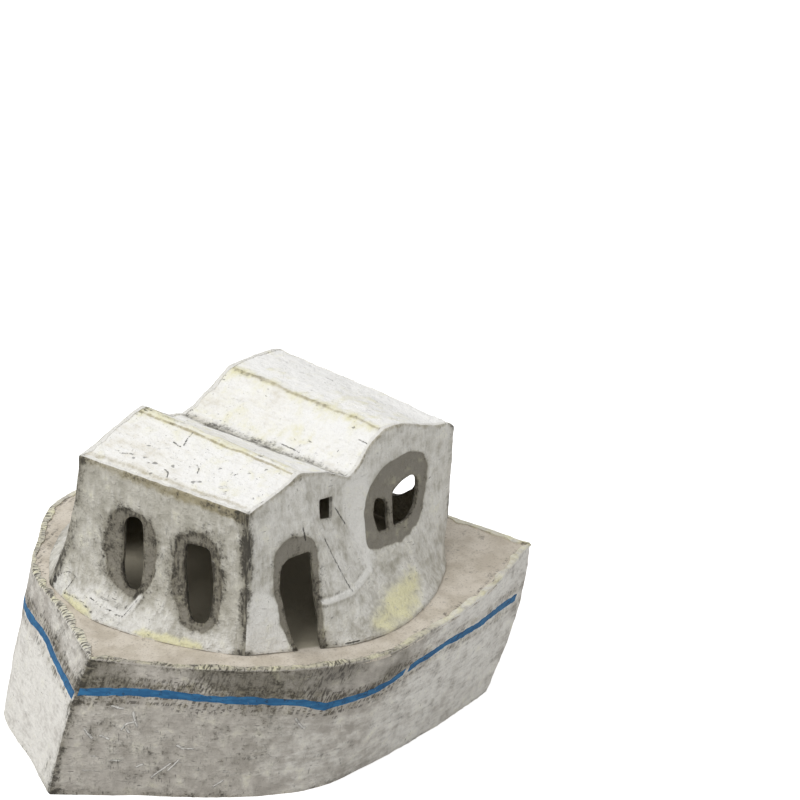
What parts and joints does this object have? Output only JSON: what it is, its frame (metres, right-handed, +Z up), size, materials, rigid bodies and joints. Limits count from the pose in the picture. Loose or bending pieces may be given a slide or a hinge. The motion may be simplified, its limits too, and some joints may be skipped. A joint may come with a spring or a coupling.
{
  "type": "cardboard houseboat model",
  "caption": "Handmade card houseboat: raked hull with a blue stripe, flat deck, and a hollow cabin with flared walls, a door, windows and a double gable roof.",
  "frame": {"origin": "under the middle of the hull, at the middle of the bounding box's base", "axes": "+X from bow to stern, +Y to starboard, +Z up"},
  "size_m": [0.336, 0.2934, 0.2025],
  "materials": {
    "hull_paper": "matt off-white paint over pasted paper, with dark grime at the edges",
    "deck_paper": "bare taupe paper, matt",
    "cabin_paper": "matt grey-white paint over pasted paper, with dark grime at the edges",
    "roof_paper": "matt white paint over pasted paper, worn to grey at the folds",
    "blue_stripe": "matt blue"
  },
  "bodies": {
    "root": {"hull_bottom": "hull_paper", "port_side": "hull_paper", "starboard_side": "hull_paper", "transom": "hull_paper", "deck": "deck_paper", "cabin_front_wall": "cabin_paper", "cabin_port_wall": "cabin_paper", "cabin_starboard_wall": "cabin_paper", "cabin_aft_wall": "cabin_paper", "front_roof": "roof_paper", "rear_roof": "roof_paper", "port_stripe_fore": "blue_stripe", "port_stripe_aft": "blue_stripe", "starboard_stripe": "blue_stripe"}
  },
  "joints": []
}
